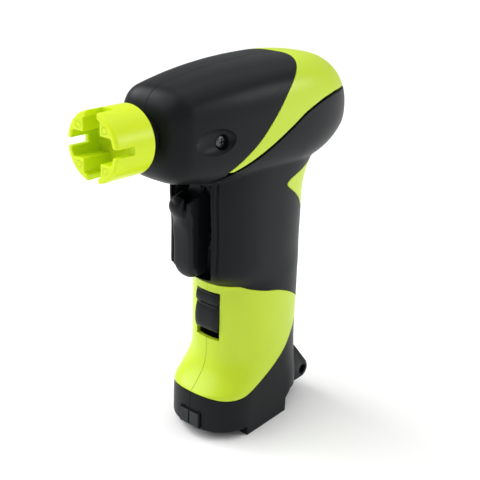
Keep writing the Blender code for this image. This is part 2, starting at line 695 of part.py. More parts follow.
def battery_door():
    """The plate under the block, its latch tongue with the ribbed pad, and its hinge arm."""
    plate = box((-19.0, BLOCK_FRONT + 1.8, 0.25), (19.0, 11.0, 2.6))
    riser = box((-13.6, -11.4, 1), (13.6, 7.4, 9.4))
    tongue = prism(
        [(-14.4, 0.25), (-14.4, 7.6), (-32.9, 7.6), (-32.9, 13.5), (PAD_FRONT, 13.5), (PAD_FRONT, PAD_BOTTOM),
         (-16.6, PAD_BOTTOM), (-16.6, 0.25)][::-1],
        -PAD_X, PAD_X, "X",
    )
    arm = prism(
        [(10, 0.25), (13.2, 0.25), (13.2, 7.2), (17.6, 10.9), (HINGE_Y - 2, 10.4), (HINGE_Y, HINGE_Z + 3), (20, 13.4),
         (14.6, 9.4), (10, 8.6)],
        -11.6, 11.6, "X",
    )
    knuckle = turned([(-11.6, 4.1), (11.6, 4.1)], (0, HINGE_Y, HINGE_Z), "X", 24)
    door = join(plate, riser, tongue, arm, knuckle)
    return cut(
        door,
        turned([(-13, HINGE_PIN_R + 0.15), (13, HINGE_PIN_R + 0.15)], (0, HINGE_Y, HINGE_Z), "X", 20),
        box((-0.35, -40, 4), (0.35, PAD_FRONT + 0.5, 14)),
    )


def screw(seat_x, tip_x, y, z, head_r=2.75, shank_r=1.3):
    """A pan-head screw along X with a cross recess, from its seat to its tip."""
    way = 1 if tip_x > seat_x else -1
    profile = [(seat_x - way * 1.9, head_r - 0.7), (seat_x - way * 1.2, head_r), (seat_x, head_r), (seat_x, shank_r),
               (tip_x - way * 0.8, shank_r), (tip_x, 0.5)]
    if way < 0:
        profile = profile[::-1]
    outer_x = seat_x - way * 2.4
    slots = [
        box((min(outer_x, seat_x - way * 0.9), y - a, z - b), (max(outer_x, seat_x - way * 0.9), y + a, z + b))
        for a, b in ((1.5, 0.35), (0.35, 1.5))
    ]
    return cut(turned(profile, (0, y, z), "X", 12), *slots)


# ---- assembly -----------------------------------------------------------------------------------------------------

clear_scene()
PARTS = new_collection("string_winder")
CUTTERS = new_collection("cutters", hidden=True)

LIME = new_material("lime_plastic", (0.56, 0.72, 0.06), 0.35)
BLACK = new_material("charcoal_plastic", (0.028, 0.031, 0.035), 0.45)
BRONZE = new_material("sintered_bronze", (0.45, 0.27, 0.12), 0.45, 1.0)
WHITE = new_material("acetal", (0.82, 0.81, 0.76), 0.4)
STEEL = new_material("steel", (0.45, 0.46, 0.47), 0.35, 1.0)
NICKEL = new_material("nickel_strip", (0.62, 0.61, 0.58), 0.25, 1.0)
CELL = new_material("cell_jacket", (0.05, 0.08, 0.16), 0.4)

outer = outer_body()
inner = inner_body()
for name, mesh in shells(outer, inner).items():
    material = LIME if name.startswith(("rear_cap", "lower_grip")) else BLACK
    add_object(name, keep_largest(mesh), material)
for side, word in ((1, "left"), (-1, "right")):
    add_object(f"neck_inlay_{word}", keep_largest(neck_inlay(outer, side)), LIME)

axis_at = (0, -80, AXIS_Z)
add_object("winder_head", winder_head(), LIME, axis_at)
add_object("output_spindle", output_spindle(), STEEL, axis_at)
floor_y = SOCKET_FRONT + CAVITY_DEPTH
add_object(
    "spindle_screw",
    turned([(floor_y - 1.9, 1.6), (floor_y - 1.3, 2.6), (floor_y - 0.1, 2.6), (floor_y - 0.1, 1.2), (-70.5, 1.2)],
           (0, 0, AXIS_Z), "Y", 16),
    STEEL, axis_at,
)
add_object("spindle_bush", tube((-66.4, -57.6), 8.0, 3.1, (0, 0, AXIS_Z), "Y", 24), BLACK, axis_at)
add_object("gearbox_case", gearbox_case(), WHITE)
add_object("gearbox_plate", tube((CASE_REAR + 0.3, MOTOR_FRONT - 0.3), CASE_R, 2.4, (0, 0, AXIS_Z), "Y", 28), STEEL)
add_object("intermediate_carrier", intermediate_carrier(), WHITE, (0, -41, AXIS_Z))
for stage, span in (("output", STAGE_B), ("input", STAGE_A)):
    for index, (t, (x, z)) in enumerate(orbit_points()):
        half_tooth = math.pi / PLANET_TEETH
        planet = gear(PLANET_TEETH, span, (x, z), 1.12, t + half_tooth)
        add_object(f"{stage}_planet_{index + 1}", planet, WHITE, (x, span[0], z))
add_object("motor_pinion", gear(SUN_TEETH, (STAGE_A[0] + 0.3, STAGE_A[1] + 0.5), (0, AXIS_Z), 1.06, 0.0), BRONZE,
           (0, -36, AXIS_Z))
add_object("motor_rotor", motor_rotor(), STEEL, (0, -18, AXIS_Z))
add_object("motor_can", motor_can(), NICKEL, (0, -18, AXIS_Z))
add_object("motor_magnet_ring", tube((-27, -8), 10.9, 8.8, (0, 0, AXIS_Z), "Y", 24), STEEL, (0, -18, AXIS_Z))
add_object("motor_end_cap", motor_end_cap(), BLACK, (0, 0, AXIS_Z))

pin_y, pin_z = TRIGGER_PIVOT
add_object("trigger", trigger(), BLACK, (0, pin_y, pin_z))
add_object("trigger_pin", turned([(-12.3, 1.2), (12.3, 1.2)], (0, pin_y, pin_z), "X", 16), STEEL, (0, pin_y, pin_z))
add_object("trigger_spring", coil((0, 0, 96), 2.3, 0.35, 6, -38.3, CHANNEL_FLOOR - 0.15, "Y"), NICKEL, (0, -22, 96))
switch = join(box((-3.2, -19.9, 101), (3.2, -12.5, 117)), box((-1.4, -28.2, 107), (1.4, -19, 110.5)))
add_object("trigger_switch", switch, BLACK, (0, -16, 109))
add_object("reversing_slider", reversing_slider(), BLACK, (0, -22, 62))
add_object("reversing_switch", box((-5.2, -18.1, 53), (5.2, -13.4, 72)), BLACK, (0, -16, 62))

for index, (sx, sy) in enumerate(((1, -1), (-1, -1), (-1, 1), (1, 1))):
    x, y = sx * CELL_PITCH / 2, CELL_Y + sy * CELL_PITCH / 2
    nub_up = index % 2 == 0
    add_object(f"battery_{index + 1}", battery_cell(x, y, nub_up), CELL, (x, y, CELL_LOW))
    low, high = (9.9, CELL_LOW - 0.15) if nub_up else (CELL_HIGH + 0.15, 66.6)
    add_object(f"cell_spring_{index + 1}", coil((x, y, 0), 3.6, 0.35, 3, low, high, "Z"), NICKEL, (x, y, low))
for side, word in ((1, "left"), (-1, "right")):
    low_x, high_x = sorted((side * 1.0, side * 11.3))
    add_object(f"door_contact_{word}", box((low_x, -10.6, 9.5), (high_x, 13.9, 9.8)), NICKEL)
    add_object(f"roof_contact_{word}", box((low_x, -9, 66.8), (high_x, 15, 67.2)), NICKEL)
add_object("bay_roof", prism([(-13, -8), (-9, -11), (9, -11), (13, -8), (13, 14), (9, 17), (-9, 17), (-13, 14)],
                             67.4, 69.6, "Z"), BLACK)

hinge_at = (0, HINGE_Y, HINGE_Z)
add_object("battery_door", battery_door(), BLACK, hinge_at)
add_object("door_pin", turned([(-14.6, HINGE_PIN_R), (14.6, HINGE_PIN_R)], hinge_at, "X", 20), STEEL, hinge_at)

y, z = SIDE_SCREW
add_object("gearbox_screw", screw(SIDE_SEAT + 0.1, 14.5, y, z), STEEL, (SIDE_SEAT, y, z))
for index, (y, z) in enumerate(HALF_SCREWS):
    seat = -screw_seat(z)
    add_object(f"housing_screw_{index + 1}", screw(seat - 0.1, 6.0, y, z), STEEL, (seat, y, z))
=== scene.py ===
"""The finished look of the string winder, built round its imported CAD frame.

Shapes are worked out in millimetres, in the CAD model's own axes: Z up, -Y towards the winder head, +X to the
tool's left. `place` turns them into metres and moves them along Y, so that they lie where the CAD parts are.
"""
import json
import math

import bmesh
import bpy
from mathutils import Matrix, Vector


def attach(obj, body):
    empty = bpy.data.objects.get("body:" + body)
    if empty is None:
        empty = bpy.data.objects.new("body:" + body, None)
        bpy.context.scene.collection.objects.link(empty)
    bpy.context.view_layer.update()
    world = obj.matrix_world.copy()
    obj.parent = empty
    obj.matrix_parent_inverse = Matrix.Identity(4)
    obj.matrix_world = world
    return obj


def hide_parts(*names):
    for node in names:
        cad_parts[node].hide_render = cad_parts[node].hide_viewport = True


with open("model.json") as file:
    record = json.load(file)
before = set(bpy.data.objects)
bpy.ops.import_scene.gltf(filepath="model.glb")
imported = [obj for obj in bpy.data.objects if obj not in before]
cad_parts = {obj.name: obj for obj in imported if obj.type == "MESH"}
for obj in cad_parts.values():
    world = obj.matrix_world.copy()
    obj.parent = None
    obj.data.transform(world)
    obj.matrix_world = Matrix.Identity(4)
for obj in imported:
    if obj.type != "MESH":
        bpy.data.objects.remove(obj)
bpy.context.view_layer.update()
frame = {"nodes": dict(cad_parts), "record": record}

MM = 0.001
CENTRE_Y = 14.65
AXIS_Z = 153.0
WALL = 2.2
SEAM = 0.10                   # half the joint between the left and right halves, mm
JOINT = 0.16                  # half the joint between shells of different colours, mm
LIP_BEAD, LIP_GROOVE = 1.45, 2.45   # from the edge of the trigger's recess to the bead and the groove beside it, mm
GROOVE = 1.25                 # shadow groove under the lime swoosh, mm

HEAD_FRONT, HEAD_REAR, HEAD_BULGE_Y, HEAD_DROP = -64.0, 62.0, 14.0, 5.2
HEAD_TOP, HEAD_BOTTOM, HEAD_HALF_WIDTH, NOSE_ROUND = 178.3, 127.0, 25.2, 8.5
GRIP_FRONT, GRIP_REAR, GRIP_HALF_WIDTH, HOUSING_FRONT, HOUSING_LEAN = -24.4, 32.4, 21.0, -38.6, 1.4
FOOT_FRONT, BASE_REAR, BASE_HALF_WIDTH, FOOT_BOTTOM = -34.5, 31.8, 21.5, 4.2
PAD_FRONT, PAD_BOTTOM = -35.3, 5.0
BLOCK_FRONT, BLOCK_REAR, REAR_BOTTOM = -16.7, 13.5, 11.0
SOCKET_FRONT, SOCKET_REAR = -91.3, -71.7
CAVITY_DEPTH, SLOT_DEPTH = 14.0, 8.8
BAR_X, BAR_Z, SOCKET_WALL_R, SLOT_X, SLOT_Z = 4.6, 5.25, 11.6, 3.1, 1.6
WINDOW_X, WINDOW_LOW, WINDOW_HIGH = 7.0, 48.2, 72.7
TRIGGER_PIVOT = (-29.0, 126.4)
CHANNEL_X, CHANNEL_FLOOR, CHANNEL_WALL = 11.2, -22.0, 2.0
CHANNEL_LOW, CHANNEL_HIGH = 81.6, 128.8
HINGE_Y, HINGE_Z, HINGE_PIN_R = 34.8, 12.8, 2.6
PAD_X = 6.1
SIDE_SCREW, SIDE_SEAT = (-39.5, 149.6), 17.0
SCOOP_CENTRE, SCOOP_SIZE = (22.4, -46.5, 150.4), (4.2, 12.5, 6.2)
HALF_SCREWS = ((30.0, 152.6), (22.5, 97.0), (-12.5, 92.0), (23.5, 30.0))

CAMERA_TURN = (38.85525, 21.42418, 2.26046)          # azimuth, elevation and roll, degrees
CAMERA_AT = (234.65741, -292.92483, 238.14413)       # in the CAD model's axes, mm
CAMERA_LENS, CAMERA_SENSOR = 63.75, 36.0             # mm
KNUCKLE_X, KNUCKLE_R = 11.6, 4.1                     # half width and radius of the door's knuckle, mm
PIN_X = 13.1                                         # half length of the hinge pin, before its chamfer, mm
RIB_COUNT, RIB_PITCH = 8, 0.93                       # ribs of the latch pad, mm
FLOOR_SIZE, WORLD_STRENGTH = 12, 0.40                # m, and the world's background strength

scratch = bpy.data.collections.new("scratch")
bpy.context.scene.collection.children.link(scratch)


# ---- camera -------------------------------------------------------------------------------------------------------

def make_camera():
    """The view the tool is looked at from: above, from its front left."""
    azimuth, elevation, roll = (math.radians(a) for a in CAMERA_TURN)
    sin_a, cos_a = math.sin(azimuth), math.cos(azimuth)
    sin_e, cos_e = math.sin(elevation), math.cos(elevation)
    right = Vector((cos_a, sin_a, 0))
    up = Vector((-sin_a * sin_e, cos_a * sin_e, cos_e))
    back = Vector((sin_a * cos_e, -cos_a * cos_e, sin_e))
    side = right * math.cos(roll) + up * math.sin(roll)
    top = up * math.cos(roll) - right * math.sin(roll)
    data = bpy.data.cameras.new("camera")
    data.lens, data.sensor_width = CAMERA_LENS, CAMERA_SENSOR
    data.clip_start, data.clip_end = 0.01, 20.0
    camera = bpy.data.objects.new("camera", data)
    bpy.context.scene.collection.objects.link(camera)
    x, y, z = CAMERA_AT
    at = Vector((x, y + CENTRE_Y, z)) * MM
    turn = Matrix((side, top, back)).transposed().to_4x4()
    camera.matrix_world = Matrix.Translation(at) @ turn
    bpy.context.scene.camera = camera


make_camera()


# ---- mesh helpers -------------------------------------------------------------------------------------------------

def mesh_of(bm, name="shape"):
    bmesh.ops.recalc_face_normals(bm, faces=bm.faces)
    mesh = bpy.data.meshes.new(name)
    bm.to_mesh(mesh)
    bm.free()
    return mesh


def loft(rings, tip=None, closed=False):
    """A mesh through rings of equally many points. Its last end may close in a tip, or join its first one."""
    bm = bmesh.new()
    loops = [[bm.verts.new(p) for p in ring] for ring in rings]
    count = len(loops[0])
    for low, high in zip(loops, loops[1:] + (loops[:1] if closed else [])):
        for i in range(count):
            j = (i + 1) % count
            bm.faces.new((low[i], low[j], high[j], high[i]))
    if not closed:
        bm.faces.new(loops[0])
    if tip is not None:
        end = bm.verts.new(tip)
        for i in range(count):
            bm.faces.new((loops[-1][i], loops[-1][(i + 1) % count], end))
    elif not closed:
        bm.faces.new(loops[-1])
    return mesh_of(bm)


def box(low, high):
    bm = bmesh.new()
    bmesh.ops.create_cube(bm, size=1.0)
    bmesh.ops.scale(bm, vec=[b - a for a, b in zip(low, high)], verts=bm.verts)
    bmesh.ops.translate(bm, vec=[(a + b) / 2 for a, b in zip(low, high)], verts=bm.verts)
    return mesh_of(bm)


def prism(outline, low, high, axis):
    """An outline extruded along an axis: X takes (y, z) points, Y takes (x, z), Z takes (x, y)."""
    place_point = {
        "X": lambda a, b, t: (t, a, b),
        "Y": lambda a, b, t: (a, t, b),
        "Z": lambda a, b, t: (a, b, t),
    }[axis]
    return loft([[place_point(a, b, t) for a, b in outline] for t in (low, high)])


def turned(profile, centre, axis, segments=48, closed=False):
    """A solid of revolution from (along, radius) points."""
    if axis == "Z":
        spin = Matrix.Identity(3)
    else:
        spin = Matrix.Rotation(math.pi / 2, 3, "X" if axis == "Y" else "Y")
    sign = -1 if axis == "Y" else 1
    rings = []
    for along, radius in profile:
        ring = []
        for k in range(segments):
            t = 2 * math.pi * k / segments
            ring.append(spin @ Vector((radius * math.cos(t), radius * math.sin(t), sign * along)) + Vector(centre))
        rings.append(ring)
    return loft(rings, closed=closed)


def evaluated(mesh, *settings):
    """The mesh with modifiers applied, each given as (type, {name: value})."""
    made = bpy.data.objects.new("work", mesh)
    scratch.objects.link(made)
    for kind, values in settings:
        modifier = made.modifiers.new(kind.lower(), kind)
        for key, value in values.items():
            setattr(modifier, key, value)
    bpy.context.view_layer.update()
    result = bpy.data.meshes.new_from_object(made.evaluated_get(bpy.context.evaluated_depsgraph_get()))
    bpy.data.objects.remove(made)
    return result


def boolean(target, other, operation, solver="MANIFOLD"):
    second = bpy.data.objects.new("other", other)
    scratch.objects.link(second)
    result = evaluated(target, ("BOOLEAN", {"operation": operation, "solver": solver, "object": second}))
    bpy.data.objects.remove(second)
    return result


def cut(mesh, *others):
    for other in others:
        mesh = boolean(mesh, other, "DIFFERENCE")
    return mesh


def join(mesh, *others):
    for other in others:
        mesh = boolean(mesh, other, "UNION")
    return mesh


def common(mesh, other):
    return boolean(mesh, other, "INTERSECT")


def mirrored(mesh):
    copy = mesh.copy()
    copy.transform(Matrix.Scale(-1, 4, (1, 0, 0)))
    copy.flip_normals()
    return copy


def bevelled(mesh, width, segments=2, angle=35):
    """Rounds the edges sharper than the angle."""
    return evaluated(
        mesh,
        ("WELD", {"merge_threshold": 0.01}),
        ("BEVEL", {"width": width, "segments": segments, "limit_method": "ANGLE",
                   "angle_limit": math.radians(angle), "use_clamp_overlap": True, "miter_outer": "MITER_ARC"}),
    )


def rounded(mesh, size, passes):
    """Rounds every edge: the mesh made again from cubes of this size, then smoothed."""
    return evaluated(
        mesh,
        ("REMESH", {"mode": "VOXEL", "voxel_size": size * 1.0, "adaptivity": 0.0}),
        ("SMOOTH", {"factor": 0.5, "iterations": passes}),
    )


def largest(mesh):
    """The mesh without crumbs that a cut left loose."""
    bm = bmesh.new()
    bm.from_mesh(mesh)
    left = set(bm.verts)
    groups = []
    while left:
        group, front = set(), [left.pop()]
        while front:
            vert = front.pop()
            group.add(vert)
            for edge in vert.link_edges:
                other = edge.other_vert(vert)
                if other in left:
                    left.remove(other)
                    front.append(other)
        groups.append(group)
    groups.sort(key=len)
    for group in groups[:-1]:
        bmesh.ops.delete(bm, geom=list(group), context="VERTS")
    return mesh_of(bm)


def place(name, mesh, material, body, nodes=(), sharp=32):
    """Makes the piece: mesh in millimetres, into metres, on its body, in place of its CAD nodes."""
    mesh.transform(Matrix.Translation((0, CENTRE_Y, 0)))
    mesh.transform(Matrix.Scale(MM, 4))
    mesh.materials.clear()
    mesh.materials.append(material)
    mesh.shade_smooth()
    mesh.set_sharp_from_angle(angle=math.radians(sharp))
    made = bpy.data.objects.new(name, mesh)
    bpy.context.scene.collection.objects.link(made)
    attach(made, body)
    if nodes:
        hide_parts(*nodes)
    return made


def spline(points, per=5):
    """The points with a Catmull-Rom curve between them. The first and last two spans stay straight."""
    dense = []
    for i in range(len(points) - 1):
        p0, p1, p2, p3 = (points[min(max(i + k, 0), len(points) - 1)] for k in (-1, 0, 1, 2))
        for step in range(per):
            t = step / per
            dense.append(tuple(
                0.5 * (2 * b + (c - a) * t + (2 * a - 5 * b + 4 * c - d) * t * t + (3 * b - a - 3 * c + d) * t ** 3)
                for a, b, c, d in zip(p0, p1, p2, p3)
            ))
    return dense + [points[-1]]


def shifted(line, by):
    """The line moved sideways by `by`, to the left of its own direction."""
    moved = []
    for index, (a, b) in enumerate(line):
        before, after = line[max(0, index - 1)], line[min(len(line) - 1, index + 1)]
        run, rise = after[0] - before[0], after[1] - before[1]
        length = math.hypot(run, rise)
        moved.append((a - rise / length * by, b + run / length * by))
    return moved


# ---- materials ----------------------------------------------------------------------------------------------------

def new_material(name, color, roughness, metallic=0.0, specular=0.5):
    made = bpy.data.materials.new(name)
    made.use_nodes = True
    shader = made.node_tree.nodes["Principled BSDF"]
    shader.inputs["Base Color"].default_value = (*color, 1.0)
    shader.inputs["Roughness"].default_value = roughness
    shader.inputs["Metallic"].default_value = metallic
    shader.inputs["Specular IOR Level"].default_value = specular
    return made


def node(material, kind, **values):
    made = material.node_tree.nodes.new(kind)
    for key, value in values.items():
        if key in made.inputs:
            made.inputs[key].default_value = value
        else:
            setattr(made, key, value)
    return made


def link(material, out, into):
    material.node_tree.links.new(out, into)


def moulded(name, color, roughness, grain_mm, grain_height, mottling=0.06, edge_highlight=0.0, subsurface=0.0, specular=0.5):
    """Moulded plastic: a fine spark-eroded grain, slight unevenness of colour and gloss, and a painted highlight that
    lightens convex edges.
    """
    made = new_material(name, color, roughness, specular=specular)
    shader = made.node_tree.nodes["Principled BSDF"]
    spot = node(made, "ShaderNodeTexCoord")
    grain = node(made, "ShaderNodeTexNoise", Scale=1000.0 / grain_mm, Detail=3.0, Roughness=0.6)
    cloud = node(made, "ShaderNodeTexNoise", Scale=55.0, Detail=4.0, Roughness=0.55)
    link(made, spot.outputs["Object"], grain.inputs["Vector"])
    link(made, spot.outputs["Object"], cloud.inputs["Vector"])
    # Gloss: a little uneven, from handling
    gloss = node(made, "ShaderNodeMapRange")
    gloss.inputs["To Min"].default_value = roughness - 0.05
    gloss.inputs["To Max"].default_value = roughness + 0.06
    link(made, cloud.outputs["Fac"], gloss.inputs["Value"])
    link(made, gloss.outputs["Result"], shader.inputs["Roughness"])
    # Colour: mottled by a few per cent, with a painted highlight making convex edges lighter
    tint = node(made, "ShaderNodeMix", data_type="RGBA")
    tint.inputs["A"].default_value = (*[c * (1 - mottling) for c in color], 1)
    tint.inputs["B"].default_value = (*[min(1, c * (1 + mottling)) for c in color], 1)
    link(made, cloud.outputs["Fac"], tint.inputs["Factor"])
    last = tint.outputs["Result"]
    # Painted highlight: convex edges, found by pointiness, are lightened to stand in for light catching them
    if edge_highlight:
        shape = node(made, "ShaderNodeNewGeometry")
        edge = node(made, "ShaderNodeMapRange")
        edge.inputs["From Min"].default_value = 0.53
        edge.inputs["From Max"].default_value = 0.62
        edge.inputs["To Max"].default_value = edge_highlight
        link(made, shape.outputs["Pointiness"], edge.inputs["Value"])
        painted_edge_highlight = node(made, "ShaderNodeMix", data_type="RGBA")
        painted_edge_highlight.inputs["B"].default_value = (*[min(1, c * 1.8 + 0.008) for c in color], 1)
        link(made, edge.outputs["Result"], painted_edge_highlight.inputs["Factor"])
        link(made, last, painted_edge_highlight.inputs["A"])
        last = painted_edge_highlight.outputs["Result"]
    link(made, last, shader.inputs["Base Color"])
    bump = node(made, "ShaderNodeBump", Strength=0.35)
    bump.inputs["Distance"].default_value = grain_height * MM
    soft_edge = node(made, "ShaderNodeBevel", samples=4, Radius=0.28 * MM)
    link(made, soft_edge.outputs["Normal"], bump.inputs["Normal"])
    link(made, grain.outputs["Fac"], bump.inputs["Height"])
    link(made, bump.outputs["Normal"], shader.inputs["Normal"])
    if subsurface:
        shader.inputs["Subsurface Weight"].default_value = subsurface
        shader.inputs["Subsurface Radius"].default_value = (0.6, 0.8, 0.15)
        shader.inputs["Subsurface Scale"].default_value = 0.0025
    return made


def metal(name, color, roughness, streak=400.0):
    """Machined metal with fine streaks in its gloss."""
    made = new_material(name, color, roughness, 1.0)
    shader = made.node_tree.nodes["Principled BSDF"]
    spot = node(made, "ShaderNodeTexCoord")
    stretch = node(made, "ShaderNodeMapping")
    stretch.inputs["Scale"].default_value = (streak, streak * 8, streak)
    noise = node(made, "ShaderNodeTexNoise", Scale=1.0, Detail=3.0)
    link(made, spot.outputs["Object"], stretch.inputs["Vector"])
    link(made, stretch.outputs["Vector"], noise.inputs["Vector"])
    gloss = node(made, "ShaderNodeMapRange")
    gloss.inputs["To Min"].default_value = roughness - 0.08
    gloss.inputs["To Max"].default_value = roughness + 0.12
    link(made, noise.outputs["Fac"], gloss.inputs["Value"])
    link(made, gloss.outputs["Result"], shader.inputs["Roughness"])
    tint = node(made, "ShaderNodeMix", data_type="RGBA")
    tint.inputs["A"].default_value = (*[c * 0.9 for c in color], 1)
    tint.inputs["B"].default_value = (*[min(1, c * 1.08) for c in color], 1)
    link(made, noise.outputs["Fac"], tint.inputs["Factor"])
    link(made, tint.outputs["Result"], shader.inputs["Base Color"])
    bump = node(made, "ShaderNodeBump", Strength=0.2)
    bump.inputs["Distance"].default_value = 0.01 * MM
    link(made, noise.outputs["Fac"], bump.inputs["Height"])
    link(made, bump.outputs["Normal"], shader.inputs["Normal"])
    return made


LIME = moulded("lime", (0.53, 0.70, 0.014), 0.38, 0.35, 0.010, 0.03, 0.0, 0.08)
LIME_GLOSS = moulded("lime_socket", (0.64, 0.80, 0.006), 0.35, 0.5, 0.006, 0.02, 0.0, 0.35, specular=0.3)
# The 0.25 argument on the two charcoal materials is the strength of the painted highlight on convex edges
BLACK = moulded("charcoal", (0.0078, 0.0096, 0.0110), 0.38, 0.30, 0.018, 0.10, 0.25, specular=0.11)
BLACK_SMOOTH = moulded("charcoal_trigger", (0.0086, 0.0104, 0.0120), 0.34, 0.25, 0.010, 0.10, 0.25, specular=0.14)
PAD = moulded("charcoal_pad", (0.040, 0.045, 0.046), 0.45, 0.25, 0.010, 0.10, specular=0.3)
WHITE = moulded("acetal", (0.80, 0.79, 0.74), 0.38, 0.4, 0.006, 0.03)
JACKET = moulded("cell_jacket", (0.045, 0.075, 0.16), 0.30, 0.8, 0.004, 0.05)
STEEL = metal("steel", (0.46, 0.47, 0.48), 0.32)
DARK_STEEL = metal("blackened_steel", (0.10, 0.10, 0.105), 0.42)
NICKEL = metal("nickel", (0.62, 0.61, 0.58), 0.24)
BRONZE = metal("sintered_bronze", (0.45, 0.27, 0.12), 0.45)
SLOT_MATERIAL = {"lime_plastic": LIME, "charcoal_plastic": BLACK, "acetal": WHITE, "steel": STEEL,
                 "sintered_bronze": BRONZE, "nickel_strip": NICKEL, "cell_jacket": JACKET}


# ---- outer form ---------------------------------------------------------------------------------------------------

def superellipse(power, count):
    points = []
    for k in range(count):
        t = 2 * math.pi * k / count
        c, s = math.cos(t), math.sin(t)
        points.append((
            math.copysign(abs(c) ** (2 / power), c) if abs(c) > 1e-9 else 0.0,
            math.copysign(abs(s) ** (2 / power), s) if abs(s) > 1e-9 else 0.0,
        ))
    return points


def head_section(y, inset=0.0):
    ahead = max(0.0, HEAD_BULGE_Y - y) / 75.0
    half_width = HEAD_HALF_WIDTH - 7.2 * ahead ** 2
    top = HEAD_TOP - 7.4 * ahead ** 2.2
    bottom = HEAD_BOTTOM + 6.6 * ahead ** 2.9
    lead = (y - HEAD_FRONT) / NOSE_ROUND
    rounding = NOSE_ROUND * (1 - math.sqrt(max(0.0, 1 - (1 - lead) ** 2))) if lead < 1 else 0.0
    tail = max(0.0, y - HEAD_BULGE_Y) / (HEAD_REAR - HEAD_BULGE_Y)
    middle = AXIS_Z - HEAD_DROP * tail ** 2
    closing = max(0.0, 1 - tail ** 2.45) ** (1 / 2.45)
    power = 3.3 - min(1.0, tail * 1.5)
    return (
        (half_width - rounding) * closing - inset,
        middle + (top - rounding - middle) * closing - inset,
        middle + (bottom + rounding - middle) * closing + inset,
        power,
        middle,
    )


def head_ring(y, count, inset=0.0):
    half_width, top, bottom, power, middle = head_section(y, inset)
    return [
        (c * half_width, y, middle + s * ((top - middle) if s > 0 else (middle - bottom)))
        for c, s in superellipse(power, count)
    ]


def smooth(t):
    t = min(1.0, max(0.0, t))
    return t * t * (3 - 2 * t)


def grip_front(z):
    if z < 23.5:
        return FOOT_FRONT
    if z < 41.0:
        return -23.9 + (FOOT_FRONT + 23.9) * ((41.0 - z) / 17.5) ** 2.1
    if z < 74.0:
        return -23.9 + (GRIP_FRONT + 23.9) * (z - 41.0) / 33.0
    lean = HOUSING_LEAN * smooth((z - 104.0) / 20.0)
    return GRIP_FRONT + (HOUSING_FRONT - GRIP_FRONT) * smooth((z - 75.0) / 13.0) - lean


def grip_rear(z):
    waist = 0.8 * smooth((z - 60.0) / 35.0)
    flare = 15.0 * ((z - 112.0) / 26.0) ** 2.2 if z > 112.0 else 0.0
    low = (GRIP_REAR - BASE_REAR) * (1 - smooth((z - 14.0) / 30.0))
    return GRIP_REAR - waist - low + flare


def grip_section(z, inset=0.0):
    base = 1 - smooth((z - 16.0) / 28.0)
    half_width = GRIP_HALF_WIDTH + (BASE_HALF_WIDTH - GRIP_HALF_WIDTH) * base
    front, rear = grip_front(z), grip_rear(z)
    middle = (front + rear) / 2
    front_centre = middle + (-14.0 - middle) * base
    rear_centre = middle + (13.5 - middle) * base
    power = 2.3 + 0.3 * smooth((z - 74.0) / 12.0)
    return half_width - inset, front + inset, front_centre, rear_centre, rear - inset, power


def grip_ring(z, count, inset=0.0):
    half_width, front, front_centre, rear_centre, rear, power = grip_section(z, inset)
    ring = []
    for c, s in superellipse(power, count):
        y = rear_centre + s * (rear - rear_centre) if s >= 0 else front_centre + s * (front_centre - front)
        ring.append((c * half_width, y, z))
    return ring


def housing_y(x, z):
    """Where the grip's front surface is at x."""
    half_width, front, front_centre, _, _, power = grip_section(z)
    return front_centre - (front_centre - front) * (1 - abs(x / half_width) ** power) ** (1 / power)


FINE = 0.75     # size of the outer surface's faces, mm


def outer_body():
    """Head and grip as one surface, with a soft fillet between them."""
    nose = [HEAD_FRONT + NOSE_ROUND * (1 - math.cos(math.pi / 2 * k / 9)) for k in range(10)]
    body = [HEAD_FRONT + NOSE_ROUND + 3.0 * k for k in range(1, 24)]
    tail = [body[-1] + (HEAD_REAR - 0.1 - body[-1]) * math.sin(math.pi / 2 * k / 20) for k in range(1, 21)]
    head = loft([head_ring(y, 144) for y in nose + body + tail], (0, HEAD_REAR, AXIS_Z - HEAD_DROP))
    grip = loft([grip_ring(z, 144) for z in [-5 + 1.5 * k for k in range(100)]])
    whole = join(head, grip)
    whole = evaluated(
        whole,
        ("REMESH", {"mode": "VOXEL", "voxel_size": FINE, "adaptivity": 0.0}),
        ("SMOOTH", {"factor": 0.5, "iterations": 4}),
    )
    return cut(whole, underside(), foot_rounding(), block_sides())


def underside():
    return prism(
        [(-60, -16), (-60, FOOT_BOTTOM), (BLOCK_FRONT, FOOT_BOTTOM), (BLOCK_FRONT, 0), (BLOCK_FRONT, 0),
         (BLOCK_REAR, 0), (BLOCK_REAR, 7.3), (BLOCK_REAR + 4.2, REAR_BOTTOM), (60, REAR_BOTTOM), (60, -16)],
        -40, 40, "X",
    )


def foot_rounding():
    """What is taken off to round the edge under the foot."""
    radius = 1.3
    rings = [grip_ring(FOOT_BOTTOM - 1, 144, radius)]
    for k in range(7):
        t = math.pi / 2 * k / 6
        ring = grip_ring(FOOT_BOTTOM, 144, radius * (1 - math.sin(t)))
        rings.append([(x, y, FOOT_BOTTOM + radius * (1 - math.cos(t))) for x, y, _ in ring])
    rings.append([(x * 1.01, y * 1.01, FOOT_BOTTOM + radius + 0.3) for x, y, _ in grip_ring(FOOT_BOTTOM, 144)])
    slab = box((-30, -60, FOOT_BOTTOM - 0.5), (30, BLOCK_FRONT - 0.6, FOOT_BOTTOM + radius + 0.2))
    return cut(slab, loft(rings))


def block_sides():
    """A thin sliver that keeps the block's side flush and its lower edge crisp."""
    return box((-40, BLOCK_FRONT, -9), (40, BLOCK_REAR, -0.001))


def core_body(inset):
    head = loft([head_ring(-60.2 + 121 * k / 60, 96, inset) for k in range(61)])
    grip = loft([grip_ring(z, 96, inset) for z in [2 * k for k in range(73)]])
    return join(head, grip)


